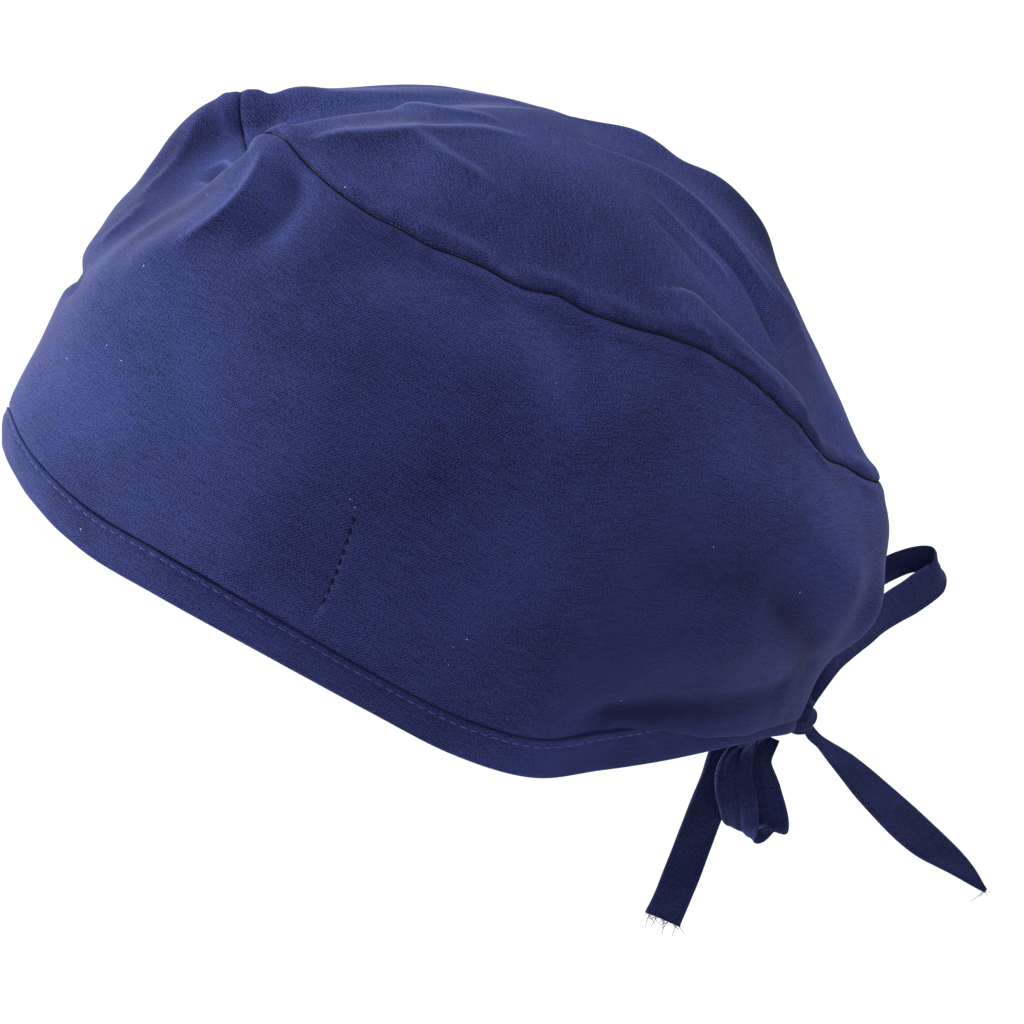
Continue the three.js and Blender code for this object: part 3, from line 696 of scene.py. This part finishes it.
LOOP_RIGHT = (
    (-2.6, 3.2, 4, 0.6, 0.4, -0.7, 40), (-6, 7.6, 8.8, 0.3, 0.5, -0.8, 60),
    (-10.5, 12.8, 12.5, 0.1, 0.6, -0.8, 82),
    (-17.7, 23.3, 17.2, 0, 0.2, -0.98, 100), (-21, 31, 19.8, 0, 0, -1, 110),
    (-23.4, 37, 23, 0, 0.2, -0.98, 105),
    (-26.4, 36.7, 26, 0, 0.5, -0.87, 90), (-28.6, 31, 25.4, -0.2, 0.3, -0.93, 80),
    (-29.8, 25, 21.5, -0.3, 0.1, -0.95, 80), (-26.6, 14.5, 12.9, -0.3, -0.3, -0.9, 80),
    (-15, 7.5, 4, -0.3, -0.3, -0.9, 65), (-4.6, 3, -1.8, 0.3, -0.3, -0.9, 40),
)
KNOT_MIDDLE = np.array([0, LINES[0][STATIONS // 2][1] + 2.2 * MM,
                        LINES[0][STATIONS // 2][2] + BAND_WIDTH / 4])
KNOT_HALF = np.array([NAPE_OPENING / 2 - 0.3 * MM, KNOT_DEPTH / 2, KNOT_HEIGHT / 2])


def strap_line(route, length, count):
    """Middle line of a strap, the directions across it and out of its face, and half its width, at count
    places."""
    rows = np.array(route, float)
    rows = np.vstack([rows[0] * (0.25, 0.25, 0.25, 1, 1, 1, 0.8), rows])
    points = KNOT_MIDDLE + rows[:, :3] * length / 100
    table = np.column_stack([points, unit(rows[:, 3:6]), rows[:, 6] / 100 * TIE_WIDTH])
    table = np.vstack([2 * table[0] - table[1], table, 2 * table[-1] - table[-2]])
    u = np.linspace(0, len(rows) - 1, count)
    i = np.minimum(u.astype(int), len(rows) - 2)
    at = smooth(table[i], table[i + 1], table[i + 2], table[i + 3], u - i)
    p, way = at[:, :3], unit(np.gradient(at[:, :3], axis=0))
    across = at[:, 3:6]
    across = unit(across - way * (across * way).sum(1, keepdims=True))
    return p, across, np.cross(way, across), np.clip(at[:, 6], 0.06 * TIE_WIDTH, None) / 2


def strap_section(x):
    """Half the strap's thickness at share x of its half width: folded edges are round and full, the middle
    is flatter, with a pressed line by each edge where the stitches run."""
    edge = np.sqrt(np.clip(1 - np.abs(x) ** 8, 0, 1))
    full = (0.82 + 0.3 * np.exp(-(((np.abs(x) - 0.88) / 0.1) ** 2))
            - 0.22 * np.exp(-(((np.abs(x) - 0.7) / 0.05) ** 2)))
    return TIE_WALL / 2 * edge * full


def strap_surface(line, x, face_side, crease):
    """Points of one face of a strap, at shares x of its half width: cupped a little, wavy along its
    length."""
    p, across, face, half = line
    far = arc(p)[:, None] / MM
    cup = 0.5 * np.sin(far / 9 + 1) * x[None] ** 2 + 0.22 * np.sin(far / 3.1 + 2.4 * x[None])
    wave = 0.12 * np.sin(far / 1.7 + 5 * x[None]) * np.abs(x[None])
    fold = (-crease * np.exp(-((x / 0.09) ** 2))[None]
            * np.sin(np.pi * np.linspace(0, 1, len(p)))[:, None] ** 0.5)
    out = face_side * strap_section(x)[None] + MM * (cup + wave + fold)
    return (p[:, None] + across[:, None] * (x[None] * half[:, None])[..., None]
            + face[:, None] * out[..., None])


def strap(name, route, length, count, crease):
    """A strap of folded cloth along its route, closed at both ends, with rounded edges."""
    line = strap_line(route, length, count)
    x = -np.cos(np.linspace(0, math.pi, 25))
    top, bottom = strap_surface(line, x, 1, crease), strap_surface(line, x[1:-1][::-1], -1, crease)
    q = np.concatenate([top, bottom], axis=1)
    m = q.shape[1]
    ends = [list(range(m)), list(range((count - 1) * m, count * m))[::-1]]
    uv = np.stack(np.broadcast_arrays(np.concatenate([x, x[1:-1][::-1]])[None] * TIE_WIDTH / 2,
                                      arc(line[0])[:, None]), -1)
    obj = mesh_object(name, q.reshape(-1, 3), [*grid_faces(count, m, closed_m=True).tolist(), *ends],
                      uv.reshape(-1, 2))
    if signed_volume(obj) < 0:
        obj.data.flip_normals()
    return obj, line


def strap_stitches(name, line, crease, trim):
    """A stitch line near one folded edge of the strap, on both faces."""
    made = []
    for k, face_side in enumerate((1, -1)):
        row = strap_surface(line, np.array([0.7]), face_side, crease)[:, 0]
        up = face_side * line[2]
        fine = np.linspace(trim, len(row) - 1 - trim, 900)
        index = np.arange(len(row))
        row, up = [np.stack([np.interp(fine, index, v[:, c]) for c in range(3)], -1) for v in (row, up)]
        made.append(stitch_row(f"{name}_stitches_{k + 1}", row, up, 1.9 * MM, 0.9 * MM, 0.17 * MM))
    return made


def frayed_end(name, line, count, longest):
    """Loose threads beyond a strap's cut end, bent each its own way."""
    p, across, face, half = line
    way = unit(p[-1] - p[-4])
    x = rng.uniform(-1, 1, count)
    start = (p[-1] + across[-1] * (x * half[-1])[:, None]
             + face[-1] * rng.uniform(-0.3, 0.3, count)[:, None] * MM)
    start = start - way * 1.2 * MM
    lengths = longest * rng.uniform(0.25, 1, count) ** 1.5 + 1.3 * MM
    lean = unit(way + 0.28 * rng.normal(size=(count, 3)))
    bend = 0.5 * rng.normal(size=(count, 3))
    t = np.linspace(0, 1, 9)[None, :, None]
    centres = (start[:, None] + lean[:, None] * lengths[:, None, None] * t
               + bend[:, None] * lengths[:, None, None] * t**2)
    normals = np.broadcast_to(face[-1] + 0.01, centres.shape)
    return threads(name, centres, normals, 0.11 * MM * np.linspace(1, 0.5, 9), 5)


def knot():
    """The knot: an ellipsoid drawn in along slanting grooves where the straps wrap over each other."""
    u = np.linspace(0.06, math.pi - 0.06, 50)
    v = np.arange(72) / 72 * 2 * math.pi
    U, V = np.meshgrid(u, v, indexing="ij")
    n = np.stack([np.cos(U), np.sin(U) * np.cos(V), np.sin(U) * np.sin(V)], -1)
    x, y, z = n[..., 0], n[..., 1], n[..., 2]
    grooves = (0.2 * np.exp(-(((z - 0.5 * x - 0.25) / 0.1) ** 2))
               + 0.16 * np.exp(-(((z + 0.7 * x + 0.3) / 0.09) ** 2)))
    creases = 0.035 * np.sin(9 * z + 3 * x + 2 * y) + 0.03 * np.sin(15 * (x + 0.6 * z))
    q = KNOT_MIDDLE + (0, -0.8 * MM, 0.6 * MM) + n * KNOT_HALF * 0.92 * (1.04 - grooves + creases)[..., None]
    ends = [list(range(72))[::-1], list(range(49 * 72, 50 * 72))]
    uv = np.stack([V * KNOT_DEPTH / 2, U * KNOT_HEIGHT / 2], -1)
    obj = mesh_object("knot", q.reshape(-1, 3), [*grid_faces(50, 72, closed_m=True).tolist(), *ends],
                      uv.reshape(-1, 2))
    if signed_volume(obj) < 0:
        obj.data.flip_normals()
    return obj


def srgb(code):
    """A colour such as "#1f2a5c" as linear values."""
    c = np.array([int(code[k:k + 2], 16) for k in (1, 3, 5)]) / 255
    return tuple(np.where(c <= 0.04045, c / 12.92, ((c + 0.055) / 1.055) ** 2.4)) + (1.0,)


def node(tree, kind, links=(), **settings):
    """Adds a shader node with its settings, and links (socket, source socket) pairs into it."""
    n = tree.nodes.new(kind)
    inputs = settings.pop("inputs", {})
    for key, value in settings.items():
        setattr(n, key, value)
    for key, value in inputs.items():
        n.inputs[key].default_value = value
    for key, source in links:
        tree.links.new(source, n.inputs[key])
    return n


def cloth_material(name, light, dark, painted_highlight="#6a76b6", shade="#0b0e2a", lint=1.0):
    """Poly-cotton poplin, a plain weave of fine dyed yarn: matt, with a faint lighter nap at grazing
    angles, uneven yarns that streak both ways, and pale specks of lint. The weave is drawn at 0.8 mm,
    coarser than the real 0.3 mm, so that it shows. The attribute "trace" mixes in a painted highlight
    along the crests and painted shade in the creases."""
    mat = bpy.data.materials.new(name)
    mat.use_nodes = True
    t = mat.node_tree
    t.nodes.clear()
    out = node(t, "ShaderNodeOutputMaterial")
    shader = node(t, "ShaderNodeBsdfPrincipled", inputs={
        "Roughness": 0.9, "Sheen Weight": 0.13, "Sheen Roughness": 0.22, "Sheen Tint": srgb("#b4bce6"),
        "Specular IOR Level": 0.12})
    t.links.new(shader.outputs[0], out.inputs[0])
    uv = node(t, "ShaderNodeUVMap", uv_map="cloth").outputs[0]
    obj = node(t, "ShaderNodeTexCoord").outputs["Object"]

    def streaks(scale, detail):
        m = node(t, "ShaderNodeMapping", [("Vector", uv)], inputs={"Scale": scale})
        return node(t, "ShaderNodeTexNoise", [("Vector", m.outputs[0])],
                    inputs={"Scale": 1.0, "Detail": detail, "Roughness": 0.6}).outputs[0]

    def math_node(op, a, b=None, value=0.5):
        links = [(0, a)] + ([(1, b)] if b is not None else [])
        n = node(t, "ShaderNodeMath", links, operation=op)
        if b is None:
            n.inputs[1].default_value = value
        return n.outputs[0]

    warp, weft, grain = streaks((2600, 500, 1), 2), streaks((160, 2700, 1), 2), streaks((2300, 2300, 1), 1)
    yarns = math_node("ADD", math_node("MULTIPLY", warp, value=0.4), math_node("MULTIPLY", weft, value=0.5))
    yarns = math_node("ADD", yarns, math_node("MULTIPLY", grain, value=1.1))
    sep = node(t, "ShaderNodeSeparateXYZ", [("Vector", uv)])
    pitch = 2 * math.pi / (0.8 * MM)
    waves = [math_node("SINE", math_node("MULTIPLY", sep.outputs[k], value=pitch)) for k in (0, 1)]
    weave = math_node("MULTIPLY", *waves)
    tone = math_node("ADD", math_node("MULTIPLY", yarns, value=0.6),
                     math_node("MULTIPLY", weave, value=0.12))
    clouds = node(t, "ShaderNodeTexNoise", [("Vector", obj)], inputs={"Scale": 28, "Detail": 3}).outputs[0]
    tone = math_node("ADD", tone, math_node("MULTIPLY", clouds, value=0.25))
    ramp = node(t, "ShaderNodeMapRange", [("Value", tone)], inputs={"From Min": 0.59, "From Max": 0.88})
    mix = node(t, "ShaderNodeMix", [("Factor", ramp.outputs[0])], data_type="RGBA")
    mix.inputs["A"].default_value = srgb(dark)
    mix.inputs["B"].default_value = srgb(light)
    trace = node(t, "ShaderNodeAttribute", attribute_name="trace").outputs["Fac"]
    # Painted highlight along the crests and lap edges, and painted shade in the creases, below the laps, in
    # the seam ditches and along the shade routes, both from the attribute "trace".
    for low, high, share, colour in ((0, 1, 0.5, painted_highlight), (0, -1, 0.8, shade)):
        amount = node(t, "ShaderNodeMapRange", [("Value", trace)],
                      inputs={"From Min": low, "From Max": high, "To Max": share})
        over = node(t, "ShaderNodeMix", [("Factor", amount.outputs[0])], data_type="RGBA")
        t.links.new(mix.outputs["Result"], over.inputs["A"])
        over.inputs["B"].default_value = srgb(colour)
        mix = over
    spots = node(t, "ShaderNodeTexVoronoi", [("Vector", obj)], inputs={"Scale": 210.0}).outputs["Distance"]
    few = node(t, "ShaderNodeTexNoise", [("Vector", obj)], inputs={"Scale": 160.0, "Detail": 1}).outputs[0]
    speck = math_node("MULTIPLY", math_node("LESS_THAN", spots, value=0.045),
                      math_node("GREATER_THAN", few, value=0.62))
    fleck = node(t, "ShaderNodeMix", [("Factor", math_node("MULTIPLY", speck, value=0.55 * lint))],
                 data_type="RGBA")
    t.links.new(mix.outputs["Result"], fleck.inputs["A"])
    fleck.inputs["B"].default_value = srgb("#aeb4d0")
    t.links.new(fleck.outputs["Result"], shader.inputs["Base Color"])
    fine = math_node("ADD", math_node("MULTIPLY", weave, value=0.25), yarns)
    bump = node(t, "ShaderNodeBump", [("Height", fine)], inputs={"Strength": 0.4, "Distance": 0.2 * MM})
    creases = node(t, "ShaderNodeTexNoise", [("Vector", obj)],
                   inputs={"Scale": 90, "Detail": 4, "Roughness": 0.55})
    soft = node(t, "ShaderNodeBump", [("Height", creases.outputs[0]), ("Normal", bump.outputs[0])],
                inputs={"Strength": 0.25, "Distance": 0.6 * MM})
    t.links.new(soft.outputs[0], shader.inputs["Normal"])
    return mat


def thread_material(name, colour):
    """Spun polyester sewing thread, a little glossier than the cloth, lighter where its twist catches the
    light."""
    mat = bpy.data.materials.new(name)
    mat.use_nodes = True
    t = mat.node_tree
    t.nodes.clear()
    out = node(t, "ShaderNodeOutputMaterial")
    shader = node(t, "ShaderNodeBsdfPrincipled", inputs={"Roughness": 0.8, "Specular IOR Level": 0.1})
    t.links.new(shader.outputs[0], out.inputs[0])
    where = node(t, "ShaderNodeTexCoord").outputs["Object"]
    twist = node(t, "ShaderNodeTexNoise", [("Vector", where)],
                 inputs={"Scale": 2600.0, "Detail": 2.0}).outputs[0]
    tone = node(t, "ShaderNodeMapRange", [("Value", twist)], inputs={"To Min": 0.6, "To Max": 1.25})
    mix = node(t, "ShaderNodeMix", data_type="RGBA", blend_type="MULTIPLY", inputs={0: 1.0})
    mix.inputs["A"].default_value = srgb(colour)
    t.links.new(tone.outputs[0], mix.inputs["B"])
    t.links.new(mix.outputs["Result"], shader.inputs["Base Color"])
    bump = node(t, "ShaderNodeBump", [("Height", twist)], inputs={"Strength": 0.4, "Distance": 0.05 * MM})
    t.links.new(bump.outputs[0], shader.inputs["Normal"])
    return mat


def place(obj, nodes, slot, material):
    """Gives a piece its material and body, and hides the CAD nodes that it replaces, if any. slot is not
    used.
    """
    obj.data.materials.append(material)
    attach(obj, "root")
    if nodes:
        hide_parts(*nodes)


def stage():
    """A white floor well below the cap, a white world, and soft lights from the front, the far side and
    above."""
    bpy.ops.mesh.primitive_plane_add(size=30, location=(0, 0, -0.30))
    floor = bpy.context.object
    floor.name = "floor"
    mat = bpy.data.materials.new("floor_white")
    mat.use_nodes = True
    mat.node_tree.nodes["Principled BSDF"].inputs["Base Color"].default_value = (0.52, 0.52, 0.52, 1)
    mat.node_tree.nodes["Principled BSDF"].inputs["Roughness"].default_value = 1
    floor.data.materials.append(mat)
    world = bpy.data.worlds.new("studio")
    bpy.context.scene.world = world
    world.use_nodes = True
    world.node_tree.nodes["Background"].inputs[0].default_value = (1, 1, 1, 1)
    world.node_tree.nodes["Background"].inputs[1].default_value = 0.58
    for name, towards, soft, power in (
        ("key", (-0.26, -1.0, 0.2), 14, 5.9),
        ("rim", (-1.6, -0.9, 0.1), 20, 3.0),
        ("top", (-0.2, 0.3, 0.9), 40, 3.5),
    ):
        data = bpy.data.lights.new(name, "SUN")
        data.energy, data.angle = power, math.radians(soft)
        lamp = bpy.data.objects.new(name, data)
        x, y, z = lamp.location = towards
        lamp.rotation_euler = (math.acos(z / math.hypot(x, y, z)), 0, math.atan2(y, x) + math.pi / 2)
        bpy.context.scene.collection.objects.link(lamp)
    bpy.context.scene.view_settings.view_transform = "Standard"


CLOTH = cloth_material("navy_poplin", "#363f7a", "#0f1430")
# The ties' cloth is the same navy made darker: painted shade for the shadow that the cap casts on the ties
# and knot.
TIE_CLOTH_SHADED = cloth_material("navy_tie_cloth_painted_shade", "#293160", "#13172f")
THREAD = thread_material("navy_thread", "#4a5594")
TIE_THREAD = thread_material("navy_tie_thread", "#1f2449")
# Painted shade for the dart's stitch holes, made as nearly black thread.
STITCH_HOLE_SHADE = thread_material("stitch_hole_painted_shade", "#0a0d24")
stage()
side, crown, hem, bow = side_panel(), top_panel(), hem_band(), knot()
place(side, ("side_panel",), "side_cloth", CLOTH)
place(crown, ("top_panel",), "crown_cloth", CLOTH)
place(hem, ("hem_band",), "band_cloth", CLOTH)
place(bow, ("bow_knot",), "tie_cloth", TIE_CLOTH_SHADED)
topstitch = hem_stitches()
place(topstitch, (), "band_cloth", THREAD)
darts = [dart_stitches(side_sign) for side_sign in (1, -1)]
for row in darts:
    place(row, (), "side_cloth", STITCH_HOLE_SHADE)
for name, route, length, count, crease in (
    ("tail_left", TAIL_LEFT, TAIL_LEFT_LENGTH, 150, 0.1),
    ("tail_right", TAIL_RIGHT, TAIL_RIGHT_LENGTH, 190, 0.45),
    ("loop_left", LOOP_LEFT, LOOP_LEFT_LENGTH, 200, 0.5),
    ("loop_right", LOOP_RIGHT, LOOP_RIGHT_LENGTH, 240, 0.15),
):
    obj, line = strap(name + "_strap", route, length, count, crease)
    place(obj, (name,), "tie_cloth", TIE_CLOTH_SHADED)
    extras = strap_stitches(name, line, crease, 12)
    if name.startswith("tail"):
        extras.append(frayed_end(name + "_fray", line, 34 if name == "tail_left" else 10, 2.6 * MM))
    for row in extras:
        place(row, (), "tie_cloth", TIE_THREAD)
